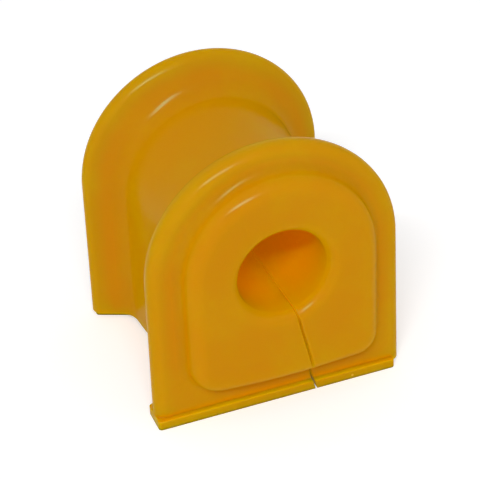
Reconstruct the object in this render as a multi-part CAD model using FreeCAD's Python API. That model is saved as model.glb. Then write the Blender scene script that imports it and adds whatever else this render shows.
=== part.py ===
import FreeCAD, Part
import math
import os

from FreeCAD import Vector

# Sway bar bushing: one casting, split on one side so that it opens over the bar.
# Millimetres. The origin is on the bore axis at mid length, +Y runs along the bar
# and +Z points away from the flat base. The front end of the bushing is at -Y.

# Bar bore
bore_radius = 10.0
bore_height = 34.1
bore_mouth_round = 2.5

# Flanges, each an arch over two straight legs
flange_half_width = 28.0
arch_drop = 0.25
rim_length = 48.4
front_rim_thickness = 5.2
rear_rim_thickness = 4.0
rim_outer_round = 2.4
front_rim_inner_round = 4.2
rear_rim_inner_round = 2.4
flange_face_angle = 25.0
leg_splay = 0.4

# Waist between the flanges, where the bracket strap sits
waist_half_width = 18.9
waist_end_swell = 1.2
waist_root_round = 5.0
waist_middle_round = 60.0

# End faces: a raised pad round the bore, with a round at its foot and one on its edge
pad_rise = 5.05
rim_width = 6.5
pad_half_width = flange_half_width - rim_width
pad_shift = 0.1
pad_arch_lift = 1.15
pad_bottom = 26.2
pad_bottom_bow = 1.3
pad_bottom_round = 150.0
pad_bottom_straight = 1.0
pad_left_corner = 7.5
pad_right_corner = 5.5
pad_side_draft = 6.0
pad_foot_round = 2.0
pad_edge_round = 3.2

# Foot plate under the legs and the waist: proud of the front face, short of the rear one,
# and set to the left by the shifts
foot_height = 2.1
foot_half_width = 27.5
front_foot_shift = -0.95
front_foot_ledge = 1.2
front_foot_length = 6.8
rear_foot_shift = -0.3
rear_foot_inset = 0.1
rear_foot_length = 3.2
foot_waist_half_width = 19.1
foot_root_round = 2.5
foot_corner_round = 0.8

# Slit from the bore to the base, with its lips worn open on the pads
slit_angle = 12.8
slit_width_at_bore = 0.12
slit_width_at_base = 0.4
slit_lip_width = 1.0
slit_lip_depth = 0.4

# Overlap between solids that are fused, and how near counts as touching
overlap = 1.0
tolerance = 0.001

# Worked out from the sizes above
rim_half_length = rim_length / 2
pad_half_length = rim_half_length + pad_rise


def rounded_wire(corners):
    """Closed wire through corners (point, radius), each corner a tangent arc of its radius."""
    count = len(corners)
    starts = []
    ends = []
    arcs = []
    for index in range(count):
        point, radius = corners[index]
        before = corners[index - 1][0]
        after = corners[(index + 1) % count][0]
        toward_before = (before - point).normalize()
        toward_after = (after - point).normalize()
        if radius <= 0:
            starts.append(point)
            ends.append(point)
            arcs.append(None)
            continue
        half_angle = toward_before.getAngle(toward_after) / 2
        tangent_length = radius / math.tan(half_angle)
        bisector = (toward_before + toward_after).normalize()
        start = point + toward_before * tangent_length
        middle = point + bisector * (radius / math.sin(half_angle) - radius)
        end = point + toward_after * tangent_length
        starts.append(start)
        ends.append(end)
        arcs.append(Part.Arc(start, middle, end).toShape())
    path = []
    for index in range(count):
        if arcs[index] is not None:
            path.append(arcs[index])
        following = starts[(index + 1) % count]
        if ends[index].distanceToPoint(following) > tolerance:
            path.append(Part.makeLine(ends[index], following))
    return Part.Wire(path)


def body_section(inner_radius):
    """Half section of the body on the plane z = 0, from inner_radius out to the rims."""
    face_slope = math.tan(math.radians(flange_face_angle))
    waist_end = waist_half_width + waist_end_swell
    face_length = (flange_half_width - waist_end) * face_slope
    front_edge = -rim_half_length + front_rim_thickness
    rear_edge = rim_half_length - rear_rim_thickness
    corners = [
        (inner_radius, -rim_half_length, 0),
        (flange_half_width, -rim_half_length, rim_outer_round),
        (flange_half_width, front_edge, front_rim_inner_round),
        (waist_end, front_edge + face_length, waist_root_round),
        (waist_half_width, 0, waist_middle_round),
        (waist_end, rear_edge - face_length, waist_root_round),
        (flange_half_width, rear_edge, rear_rim_inner_round),
        (flange_half_width, rim_half_length, rim_outer_round),
        (inner_radius, rim_half_length, 0),
    ]
    return Part.Face(rounded_wire([(Vector(x, y, 0), radius) for x, y, radius in corners]))


def flanged_body():
    """Arch turned about its own centre over two legs that run straight down to the base."""
    arch = body_section(0).revolve(Vector(0, 0, 0), Vector(0, 1, 0), -180)
    leg_drop = bore_height - arch_drop - foot_height / 2
    right_leg = body_section(-overlap).extrude(Vector(leg_splay, 0, -leg_drop))
    left_leg = right_leg.mirror(Vector(0, 0, 0), Vector(1, 0, 0))
    body = arch.fuse([right_leg, left_leg]).removeSplitter()
    body.translate(Vector(0, 0, -arch_drop))
    return body


def pad_outline(y, inset):
    """Outline of the end pad at the given y: arch top, straight sides, bottom bowed down."""
    half_width = pad_half_width - inset
    top = pad_arch_lift + half_width
    bottom = -pad_bottom + inset
    room = half_width - max(pad_left_corner, pad_right_corner) - pad_bottom_straight
    bottom_round = min(pad_bottom_round, room * half_width / pad_bottom_bow)
    corners = [
        (-half_width, top, half_width),
        (half_width, top, half_width),
        (half_width, bottom, pad_right_corner - inset),
        (0, bottom - pad_bottom_bow, bottom_round),
        (-half_width, bottom, pad_left_corner - inset),
    ]
    return rounded_wire([(Vector(x + pad_shift, y, z), radius) for x, z, radius in corners])


def end_pad():
    """Raised pad on the front end, its sides drafted and its edge rounded."""
    draft = math.tan(math.radians(pad_side_draft))
    depth = pad_half_length - rim_half_length
    foot = pad_outline(-rim_half_length + overlap, -overlap * draft)
    face = pad_outline(-pad_half_length, depth * draft)
    pad = Part.makeLoft([foot, face], True, True)
    on_face = [edge for edge in pad.Edges if edge.BoundBox.YMax < -pad_half_length + tolerance]
    return pad.makeFillet(pad_edge_round, on_face)


def foot_side(side):
    """Corners of the foot plate from front to rear on one side, 1 for the right and -1 for the left."""
    face_slope = math.tan(math.radians(flange_face_angle))
    front_x = side * foot_half_width + front_foot_shift
    rear_x = side * foot_half_width + rear_foot_shift
    waist_x = side * foot_waist_half_width
    front_end = -rim_half_length - front_foot_ledge
    front_edge = front_end + front_foot_length
    rear_end = rim_half_length - rear_foot_inset
    rear_edge = rear_end - rear_foot_length
    return [
        (front_x, front_end, foot_corner_round),
        (front_x, front_edge, foot_corner_round),
        (waist_x, front_edge + abs(front_x - waist_x) * face_slope, foot_root_round),
        (waist_x, rear_edge - abs(rear_x - waist_x) * face_slope, foot_root_round),
        (rear_x, rear_edge, foot_corner_round),
        (rear_x, rear_end, foot_corner_round),
    ]


def foot_plate():
    """Flat plate under the whole base."""
    corners = foot_side(1) + foot_side(-1)[::-1]
    plan = Part.Face(rounded_wire([(Vector(x, y, -bore_height), radius) for x, y, radius in corners]))
    return plan.extrude(Vector(0, 0, foot_height))


def bore_with_mouths():
    """Bar bore as a turned tool, flared by a round at each end face."""
    mouth = bore_radius + bore_mouth_round
    beyond = pad_half_length + overlap
    throat = pad_half_length - bore_mouth_round
    share = bore_mouth_round * (1 - math.sqrt(0.5))
    corners = [
        Vector(0, -beyond, 0),
        Vector(mouth, -beyond, 0),
        Vector(mouth, -pad_half_length, 0),
        Vector(bore_radius, -throat, 0),
        Vector(bore_radius, throat, 0),
        Vector(mouth, pad_half_length, 0),
        Vector(mouth, beyond, 0),
        Vector(0, beyond, 0),
    ]
    front_middle = Vector(bore_radius + share, -pad_half_length + share, 0)
    rear_middle = Vector(bore_radius + share, pad_half_length - share, 0)
    outline = Part.Wire([
        Part.makeLine(corners[0], corners[1]),
        Part.makeLine(corners[1], corners[2]),
        Part.Arc(corners[2], front_middle, corners[3]).toShape(),
        Part.makeLine(corners[3], corners[4]),
        Part.Arc(corners[4], rear_middle, corners[5]).toShape(),
        Part.makeLine(corners[5], corners[6]),
        Part.makeLine(corners[6], corners[7]),
        Part.makeLine(corners[7], corners[0]),
    ])
    return Part.Face(outline).revolve(Vector(0, 0, 0), Vector(0, 1, 0), 360)


def slit():
    """Cut from the bore out through the base, wider at the base, leaning from straight down."""
    reach = bore_height / math.cos(math.radians(slit_angle)) + overlap
    beyond = pad_half_length + overlap
    corners = [
        Vector(-slit_width_at_bore / 2, -beyond, 0),
        Vector(slit_width_at_bore / 2, -beyond, 0),
        Vector(slit_width_at_base / 2, -beyond, -reach),
        Vector(-slit_width_at_base / 2, -beyond, -reach),
    ]
    cut = Part.Face(Part.makePolygon(corners + corners[:1])).extrude(Vector(0, 2 * beyond, 0))
    cut.rotate(Vector(0, 0, 0), Vector(0, 1, 0), -slit_angle)
    return cut


def slit_lips():
    """Shallow vee along the slit in the face of the front pad."""
    reach = bore_height / math.cos(math.radians(slit_angle)) + overlap
    half_width = slit_lip_width / 2 * (1 + overlap / slit_lip_depth)
    corners = [
        Vector(0, -pad_half_length + slit_lip_depth, 0),
        Vector(-half_width, -pad_half_length - overlap, 0),
        Vector(half_width, -pad_half_length - overlap, 0),
    ]
    cut = Part.Face(Part.makePolygon(corners + corners[:1])).extrude(Vector(0, 0, -reach))
    cut.rotate(Vector(0, 0, 0), Vector(0, 1, 0), -slit_angle)
    return cut


def edges_along(shape, curve):
    """Edges of shape that lie on curve."""
    found = []
    for edge in shape.Edges:
        middle = edge.valueAt((edge.FirstParameter + edge.LastParameter) / 2)
        if Part.Vertex(middle).distToShape(curve)[0] < tolerance:
            found.append(edge)
    return found


def with_pad(casting, pad, foot_line):
    """Casting with the pad fused on and a round along the pad's foot."""
    joined = casting.fuse(pad)
    return joined.makeFillet(pad_foot_round, edges_along(joined, foot_line))


def bushing():
    """The whole casting."""
    body = flanged_body()
    front_pad = end_pad()
    front_line = body.section(front_pad)
    rear_pad = front_pad.mirror(Vector(0, 0, 0), Vector(0, 1, 0))
    rear_line = front_line.mirror(Vector(0, 0, 0), Vector(0, 1, 0))
    casting = with_pad(body, front_pad, front_line)
    casting = with_pad(casting, rear_pad, rear_line)
    casting = casting.fuse(foot_plate()).removeSplitter()
    front_lips = slit_lips()
    rear_lips = front_lips.mirror(Vector(0, 0, 0), Vector(0, 1, 0))
    return casting.cut([bore_with_mouths(), slit(), front_lips, rear_lips]).removeSplitter()


os.makedirs("parts", exist_ok=True)
bushing().Solids[0].exportStep("parts/bushing.step")
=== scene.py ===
import math

import bpy
from mathutils import Matrix, Vector


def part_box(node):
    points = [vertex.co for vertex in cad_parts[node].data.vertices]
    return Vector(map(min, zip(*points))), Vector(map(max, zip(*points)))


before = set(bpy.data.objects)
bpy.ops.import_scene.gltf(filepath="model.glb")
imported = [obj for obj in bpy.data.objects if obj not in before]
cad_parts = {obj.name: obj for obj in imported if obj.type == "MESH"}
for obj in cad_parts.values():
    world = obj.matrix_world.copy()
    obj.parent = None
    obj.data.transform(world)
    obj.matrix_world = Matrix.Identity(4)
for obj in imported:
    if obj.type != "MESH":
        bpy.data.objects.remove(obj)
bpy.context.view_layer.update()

# Viewpoint, as the photograph was taken: angles in degrees, distance and aim in metres
VIEW_AZIMUTH = 19.67
VIEW_ELEVATION = 33.20
VIEW_ROLL = 2.81
VIEW_DISTANCE = 0.4065
VIEW_AIM = Vector((0.0008, 0.0, -0.0087))
LENS = 138.45
SENSOR_WIDTH = 36.0
CLIP_START = 0.01
CLIP_END = 20.0

# Softbox behind the camera and a little above it
SOFTBOX_DIRECTION = Vector((-0.303, -0.669, 0.679))
SOFTBOX_DISTANCE = 1.60
SOFTBOX_WIDTH = 0.90
SOFTBOX_HEIGHT = 0.085
SOFTBOX_POWER = 16.2

# Surroundings
WHITE = (1.0, 1.0, 1.0, 1.0)
AMBIENT = 0.50
FLOOR_RADIUS = 3.0
FLOOR_SIDES = 96
FLOOR_COLOUR = (0.86, 0.86, 0.86, 1.0)
FLOOR_ROUGHNESS = 0.9
FLOOR_LIFT = 0.30

# Amber polyurethane: colours by openness, which goes from 0 deep in the slit to 1 in the open; below the
# open end they hold painted light
MM = 0.001
# Amber on the open faces; in the recesses painted light, deep orange written brighter than it shows to make
# up for the shade there
BODY_AND_PAINTED_RECESS_LIGHT = (
    (0.05, (0.92, 0.50, 0.0, 1.0)),
    (0.30, (0.80, 0.39, 0.0, 1.0)),
    (0.58, (0.76, 0.26, 0.0, 1.0)),
    (0.84, (0.565, 0.245, 0.0, 1.0)),
)
# Amber on the bore's open wall; deeper in, painted light, written brighter than it shows to make up for the
# shade in the bore
BORE_AND_PAINTED_RECESS_LIGHT = (
    (0.05, (0.95, 0.48, 0.0, 1.0)),
    (0.22, (0.66, 0.230, 0.0, 1.0)),
    (0.55, (0.65, 0.35, 0.0, 1.0)),
    (0.88, (0.565, 0.255, 0.0, 1.0)),
)
# Painted glow in the bore: emission, strongest in its recesses, standing in for light that comes through
# the wall
PAINTED_BORE_GLOW = (
    (0.00, (0.03, 0.015, 0.0, 1.0)),
    (0.10, (0.28, 0.110, 0.0, 1.0)),
    (0.22, (0.19, 0.065, 0.0, 1.0)),
    (0.42, (0.0, 0.0, 0.0, 1.0)),
)
RECESS_REACH = 22.0 * MM
RECESS_SCATTER = (20.0, 8.0, 1.0)
FACE_SCATTER = (4.0, 2.4, 0.4)
RECESS_OPENNESS = 0.12
FACE_OPENNESS = 0.60
OCCLUSION_SAMPLES = 16

# Painted light at thin edges: yellow where the casting is thin, by the share of solid within reach of a
# point, standing in for light that comes through them
PAINTED_EDGE_LIGHT = (0.50, 0.285, 0.0, 1.0)
THIN_REACH = 6.0 * MM
THICK_SHARE = 0.95
THIN_SHARE = 0.35
COVERED_OPENNESS = 0.60
UNCOVERED_OPENNESS = 0.95

# Places on the casting that the colours follow
BORE_WALL = 11.0 * MM
BORE_MOUTH = 13.0 * MM
# Painted light along the foot: yellow standing in for light from the floor that comes through its thin
# bottom edge
PAINTED_FOOT_LIGHT = (0.54, 0.28, 0.0, 1.0)
FOOT_TOP = -31.0 * MM
FOOT_MIDDLE = -33.0 * MM
SLIT_LEAN = math.radians(12.8)

# Clouds, fine mottle in patches, and specks: scales are cycles in a metre
CLOUD_SCALE = 70
CLOUD_DETAIL = 3
CLOUD_DEPTH = 0.08
PATCH_DETAIL = 1
PATCH_LOW = 0.45
PATCH_HIGH = 0.65
MOTTLE_SCALE = 650
MOTTLE_DETAIL = 2
MOTTLE_DEPTH = 0.12
MEAN_SHADE = (CLOUD_DEPTH + MOTTLE_DEPTH / 4) / 2
SPECK_SCALE = 185
SPECK_RADIUS = 0.055
SPECK_SHARE = 0.06
PALE_SPECK = (0.75, 0.45, 0.05, 1.0)

# Skin: gloss, softened edges, moulding waves and fine grain
GLOSS_ROUGHNESS = 0.17
GLOSS_LEVEL = 0.008
GLOSS_TINT = (0.3, 14.0, 9.5, 1.0)
EDGE_ROUND = 0.6 * MM
EDGE_SAMPLES = 6
WAVE_SCALE = 90
WAVE_DEPTH = 0.05 * MM
GRAIN_SCALE = 2600
GRAIN_DEPTH = 0.02 * MM
SKIN_DETAIL = 2

# Sockets of a Mix node, which share their names
MIX_FACTOR = 0
MIX_VECTORS = (4, 5)
MIX_VECTOR_RESULT = 1
MIX_COLOURS = (6, 7)
MIX_COLOUR_RESULT = 2


def camera():
    """Camera at the photograph's angle, aimed a little below the bore and rolled as it was held."""
    azimuth = math.radians(VIEW_AZIMUTH)
    elevation = math.radians(VIEW_ELEVATION)
    forward = Vector((
        math.sin(azimuth) * math.cos(elevation),
        math.cos(azimuth) * math.cos(elevation),
        -math.sin(elevation),
    ))
    right = Vector((math.cos(azimuth), -math.sin(azimuth), 0.0))
    up = right.cross(forward)
    turned = Matrix.Rotation(math.radians(VIEW_ROLL), 3, forward)
    right = turned @ right
    up = turned @ up
    rotation = Matrix((right, up, -forward)).transposed()
    data = bpy.data.cameras.new("photo_camera")
    data.lens = LENS
    data.sensor_width = SENSOR_WIDTH
    data.clip_start = CLIP_START
    data.clip_end = CLIP_END
    obj = bpy.data.objects.new("photo_camera", data)
    obj.matrix_world = Matrix.Translation(VIEW_AIM - forward * VIEW_DISTANCE) @ rotation.to_4x4()
    bpy.context.scene.collection.objects.link(obj)
    bpy.context.scene.camera = obj


def softbox():
    """One lamp that makes the spindle-shaped highlights on the rims."""
    data = bpy.data.lights.new("softbox", "AREA")
    data.shape = "ELLIPSE"
    data.size = SOFTBOX_WIDTH
    data.size_y = SOFTBOX_HEIGHT
    data.energy = SOFTBOX_POWER
    obj = bpy.data.objects.new("softbox", data)
    obj.location = SOFTBOX_DIRECTION.normalized() * SOFTBOX_DISTANCE
    obj.rotation_mode = "QUATERNION"
    obj.rotation_quaternion = SOFTBOX_DIRECTION.to_track_quat("Z", "Y")
    bpy.context.scene.collection.objects.link(obj)


def arithmetic(nodes, links, operation, first, second=0.0):
    """Result of a math operation; first is a socket, second is a socket or a number."""
    node = nodes.new("ShaderNodeMath")
    node.operation = operation
    links.new(first, node.inputs[0])
    if isinstance(second, (int, float)):
        node.inputs[1].default_value = second
    else:
        links.new(second, node.inputs[1])
    return node.outputs[0]


def ranged(nodes, links, value, start, end):
    """From 0 where value is start to 1 where it is end, smooth between them and held beyond."""
    node = nodes.new("ShaderNodeMapRange")
    node.interpolation_type = "SMOOTHSTEP"
    node.inputs["From Min"].default_value = start
    node.inputs["From Max"].default_value = end
    links.new(value, node.inputs["Value"])
    return node.outputs["Result"]


def mixed(nodes, links, factor, first, second, blend="MIX"):
    """Colour mix; the factor is a number or a socket, first and second are colours or sockets."""
    node = nodes.new("ShaderNodeMix")
    node.data_type = "RGBA"
    node.blend_type = blend
    if isinstance(factor, float):
        node.inputs[MIX_FACTOR].default_value = factor
    else:
        links.new(factor, node.inputs[MIX_FACTOR])
    for index, colour in zip(MIX_COLOURS, (first, second)):
        if isinstance(colour, tuple):
            node.inputs[index].default_value = colour
        else:
            links.new(colour, node.inputs[index])
    return node.outputs[MIX_COLOUR_RESULT]


def ramp(nodes, links, value, stops):
    """Colour read from stops (position, colour) at value."""
    node = nodes.new("ShaderNodeValToRGB")
    elements = node.color_ramp.elements
    while len(elements) < len(stops):
        elements.new(1.0)
    for element, (position, colour) in zip(elements, stops):
        element.position = position
        element.color = colour
    links.new(value, node.inputs[0])
    return node.outputs["Color"]


def noise(nodes, links, place, scale, detail):
    """Cloudy noise from 0 to 1 at scale cycles in a metre."""
    node = nodes.new("ShaderNodeTexNoise")
    node.inputs["Scale"].default_value = scale
    node.inputs["Detail"].default_value = detail
    links.new(place, node.inputs["Vector"])
    return node.outputs["Fac"]


def height_of(nodes, links, place):
    """Height of a point over the bore's axis."""
    parts = nodes.new("ShaderNodeSeparateXYZ")
    links.new(place, parts.inputs[0])
    return parts.outputs["Z"]


def shown_white(nodes, links):
    """One for rays that should meet plain white: from the camera, reflected or passed on by the object."""
    path = nodes.new("ShaderNodeLightPath").outputs
    seen = arithmetic(nodes, links, "MAXIMUM", path["Is Camera Ray"], path["Is Glossy Ray"])
    return arithmetic(nodes, links, "MAXIMUM", seen, path["Is Transmission Ray"])


def surroundings():
    """White world that lights the object softly."""
    world = bpy.data.worlds.new("studio")
    world.use_nodes = True
    nodes = world.node_tree.nodes
    links = world.node_tree.links
    background = nodes["Background"]
    background.inputs["Color"].default_value = WHITE
    strength = nodes.new("ShaderNodeMapRange")
    strength.inputs["To Min"].default_value = AMBIENT
    strength.inputs["To Max"].default_value = 1.0
    links.new(shown_white(nodes, links), strength.inputs["Value"])
    links.new(strength.outputs["Result"], background.inputs["Strength"])
    bpy.context.scene.world = world


def floor_material():
    """Pale matt floor, lifted a little where the camera sees it so that it shows as white."""
    material = bpy.data.materials.new("pale_floor")
    material.use_nodes = True
    nodes = material.node_tree.nodes
    links = material.node_tree.links
    shader = nodes["Principled BSDF"]
    shader.inputs["Base Color"].default_value = FLOOR_COLOUR
    shader.inputs["Roughness"].default_value = FLOOR_ROUGHNESS
    shader.inputs["Specular IOR Level"].default_value = 0.0
    shader.inputs["Emission Color"].default_value = WHITE
    lift = arithmetic(nodes, links, "MULTIPLY", shown_white(nodes, links), FLOOR_LIFT)
    links.new(lift, shader.inputs["Emission Strength"])
    return material


def floor():
    """Round floor at the height of the bushing's base."""
    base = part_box("bushing")[0].z
    bpy.ops.mesh.primitive_circle_add(
        vertices=FLOOR_SIDES,
        radius=FLOOR_RADIUS,
        fill_type="NGON",
        location=(0, 0, base),
    )
    disc = bpy.context.object
    disc.name = "floor"
    disc.data.materials.append(floor_material())


def occlusion(nodes, reach, inside):
    """Share of rays, from 0 to 1, that meet no surface within reach; inside turns them into the casting."""
    node = nodes.new("ShaderNodeAmbientOcclusion")
    node.samples = OCCLUSION_SAMPLES
    node.inside = inside
    node.only_local = True
    node.inputs["Distance"].default_value = reach
    return node.outputs["AO"]


def away_from_slit(nodes, links, place):
    """From 0 at the slit's walls to 1 beyond THIN_REACH from them, and 1 above the bore's axis."""
    across = nodes.new("ShaderNodeVectorMath")
    across.operation = "DOT_PRODUCT"
    across.inputs[1].default_value = (math.cos(SLIT_LEAN), 0.0, math.sin(SLIT_LEAN))
    links.new(place, across.inputs[0])
    distance = arithmetic(nodes, links, "ABSOLUTE", across.outputs["Value"])
    beside = ranged(nodes, links, distance, 0.0, THIN_REACH)
    above = ranged(nodes, links, height_of(nodes, links, place), -THIN_REACH, 0.0)
    return arithmetic(nodes, links, "MAXIMUM", beside, above)


def near_bore(nodes, links, place):
    """From 1 on the bore's wall to 0 at the edge of its mouth."""
    across = nodes.new("ShaderNodeVectorMath")
    across.operation = "MULTIPLY"
    across.inputs[1].default_value = (1.0, 0.0, 1.0)
    links.new(place, across.inputs[0])
    radius = nodes.new("ShaderNodeVectorMath")
    radius.operation = "LENGTH"
    links.new(across.outputs["Vector"], radius.inputs[0])
    return ranged(nodes, links, radius.outputs["Value"], BORE_MOUTH, BORE_WALL)


def painted_edge_light_share(nodes, links, place, openness):
    """Share of painted edge light: from 0 where the casting is thick to 1 at its thin edges, and 0 by the
    slit and in recesses.
    """
    solid_share = occlusion(nodes, THIN_REACH, True)
    thin = ranged(nodes, links, solid_share, THICK_SHARE, THIN_SHARE)
    thin = arithmetic(nodes, links, "MULTIPLY", thin, away_from_slit(nodes, links, place))
    uncovered = ranged(nodes, links, openness, COVERED_OPENNESS, UNCOVERED_OPENNESS)
    return arithmetic(nodes, links, "MULTIPLY", thin, uncovered)


def body_colour_and_painted_light(nodes, links, place, openness, bore, foot):
    """Amber on the faces, with painted light: deep orange in the recesses, written brighter than it shows
    to make up for their shade, and yellow at thin edges and along the foot.
    """
    body_with_painted_light = ramp(nodes, links, openness, BODY_AND_PAINTED_RECESS_LIGHT)
    bore_with_painted_light = ramp(nodes, links, openness, BORE_AND_PAINTED_RECESS_LIGHT)
    colour = mixed(nodes, links, bore, body_with_painted_light, bore_with_painted_light)
    colour = mixed(nodes, links, painted_edge_light_share(nodes, links, place, openness), colour, PAINTED_EDGE_LIGHT)
    return mixed(nodes, links, foot, colour, PAINTED_FOOT_LIGHT)


def clouded(nodes, links, place, colour):
    """Colour with its green varied by soft clouds, and by a fine mottle that comes in patches."""
    clouds = noise(nodes, links, place, CLOUD_SCALE, CLOUD_DETAIL)
    blobs = noise(nodes, links, place, CLOUD_SCALE, PATCH_DETAIL)
    patches = ranged(nodes, links, blobs, PATCH_LOW, PATCH_HIGH)
    fine = noise(nodes, links, place, MOTTLE_SCALE, MOTTLE_DETAIL)
    mottle = arithmetic(nodes, links, "MULTIPLY", fine, patches)
    cloud_shade = arithmetic(nodes, links, "MULTIPLY", clouds, CLOUD_DEPTH)
    mottle_shade = arithmetic(nodes, links, "MULTIPLY", mottle, MOTTLE_DEPTH)
    shade = arithmetic(nodes, links, "ADD", cloud_shade, mottle_shade)
    tint = nodes.new("ShaderNodeCombineColor")
    tint.inputs["Red"].default_value = 1.0
    tint.inputs["Blue"].default_value = 1.0
    links.new(arithmetic(nodes, links, "SUBTRACT", shade, MEAN_SHADE - 1.0), tint.inputs["Green"])
    return mixed(nodes, links, 1.0, colour, tint.outputs["Color"], "MULTIPLY")


def specks(nodes, links, place):
    """One in the few cells of a cell pattern that hold a speck, zero elsewhere."""
    cells = nodes.new("ShaderNodeTexVoronoi")
    cells.inputs["Scale"].default_value = SPECK_SCALE
    links.new(place, cells.inputs["Vector"])
    inside = arithmetic(nodes, links, "LESS_THAN", cells.outputs["Distance"], SPECK_RADIUS)
    lot = nodes.new("ShaderNodeSeparateColor")
    links.new(cells.outputs["Color"], lot.inputs[0])
    chosen = arithmetic(nodes, links, "LESS_THAN", lot.outputs["Red"], SPECK_SHARE)
    return arithmetic(nodes, links, "MULTIPLY", inside, chosen)


def scatter_reach(nodes, links, openness, foot):
    """How many millimetres red, green and blue light travel under the surface."""
    node = nodes.new("ShaderNodeMix")
    node.data_type = "VECTOR"
    node.inputs[MIX_VECTORS[0]].default_value = RECESS_SCATTER
    node.inputs[MIX_VECTORS[1]].default_value = FACE_SCATTER
    on_face = ranged(nodes, links, openness, RECESS_OPENNESS, FACE_OPENNESS)
    links.new(arithmetic(nodes, links, "MAXIMUM", on_face, foot), node.inputs[MIX_FACTOR])
    return node.outputs[MIX_VECTOR_RESULT]


def bumped(nodes, links, height, depth, normal):
    """Normal after a bump of the given depth in metres."""
    node = nodes.new("ShaderNodeBump")
    node.inputs["Strength"].default_value = 1.0
    node.inputs["Distance"].default_value = depth
    links.new(height, node.inputs["Height"])
    links.new(normal, node.inputs["Normal"])
    return node.outputs["Normal"]


def skin_normal(nodes, links, place):
    """Normal with softened edges, slow moulding waves and a fine grain."""
    rounded = nodes.new("ShaderNodeBevel")
    rounded.samples = EDGE_SAMPLES
    rounded.inputs["Radius"].default_value = EDGE_ROUND
    waves = noise(nodes, links, place, WAVE_SCALE, SKIN_DETAIL)
    grain = noise(nodes, links, place, GRAIN_SCALE, SKIN_DETAIL)
    normal = bumped(nodes, links, waves, WAVE_DEPTH, rounded.outputs["Normal"])
    return bumped(nodes, links, grain, GRAIN_DEPTH, normal)


def polyurethane():
    """Amber polyurethane: red light goes deep into it, green less, and the skin has a soft gloss. Its
    colour holds painted light in the recesses, at thin edges and along the foot, and the bore has a painted
    glow.
    """
    material = bpy.data.materials.new("amber_polyurethane")
    material.use_nodes = True
    nodes = material.node_tree.nodes
    links = material.node_tree.links
    shader = nodes["Principled BSDF"]
    place = nodes.new("ShaderNodeTexCoord").outputs["Object"]
    openness = occlusion(nodes, RECESS_REACH, False)
    bore = near_bore(nodes, links, place)
    foot = ranged(nodes, links, height_of(nodes, links, place), FOOT_TOP, FOOT_MIDDLE)

    # Base colour: amber with painted light in the recesses, at thin edges and along the foot
    colour = body_colour_and_painted_light(nodes, links, place, openness, bore, foot)
    colour = clouded(nodes, links, place, colour)
    colour = mixed(nodes, links, specks(nodes, links, place), colour, PALE_SPECK)
    links.new(colour, shader.inputs["Base Color"])
    # Painted glow: emission in the bore, standing in for light that comes through the wall
    links.new(ramp(nodes, links, openness, PAINTED_BORE_GLOW), shader.inputs["Emission Color"])
    links.new(bore, shader.inputs["Emission Strength"])
    links.new(scatter_reach(nodes, links, openness, foot), shader.inputs["Subsurface Radius"])
    links.new(skin_normal(nodes, links, place), shader.inputs["Normal"])
    shader.inputs["Subsurface Weight"].default_value = 1.0
    shader.inputs["Subsurface Scale"].default_value = MM
    shader.inputs["Roughness"].default_value = GLOSS_ROUGHNESS
    shader.inputs["Specular IOR Level"].default_value = GLOSS_LEVEL
    shader.inputs["Specular Tint"].default_value = GLOSS_TINT
    return material


camera()
surroundings()
softbox()
floor()
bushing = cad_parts["bushing"]
bushing.data.materials.clear()
bushing.data.materials.append(polyurethane())

bpy.context.scene.view_settings.view_transform = "Standard"
